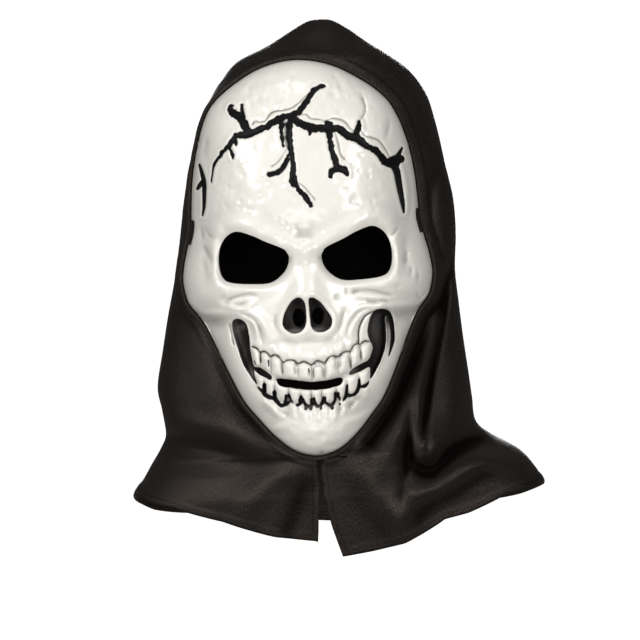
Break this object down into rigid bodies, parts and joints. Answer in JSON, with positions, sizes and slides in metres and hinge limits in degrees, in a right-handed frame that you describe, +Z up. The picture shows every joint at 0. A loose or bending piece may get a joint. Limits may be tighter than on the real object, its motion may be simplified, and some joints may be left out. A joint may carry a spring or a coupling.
{
  "type": "skull mask with cloth hood",
  "caption": "Moulded white plastic skull face with painted cracks and teeth, eye holes and mouth slit, on a black cloth hood that drapes to the shoulders.",
  "frame": {"origin": "the seat: the place inside the crown of the hood where the wearer's head carries the mask", "axes": "+Z up the standing head, -Y forwards through the face, +X to the right as seen from the front"},
  "size_m": [0.2852, 0.2297, 0.3694],
  "materials": {
    "white_plastic": "glossy moulded plastic with black painted recesses",
    "hood_cloth": "black woven polyester with a faint sheen",
    "hem_cloth": "turned black hem",
    "elastic_webbing": "ribbed black elastic"
  },
  "bodies": {
    "root": {"face_shell": "white_plastic", "hood": "hood_cloth", "opening_hem": "hem_cloth", "elastic_band": "elastic_webbing"}
  },
  "joints": []
}
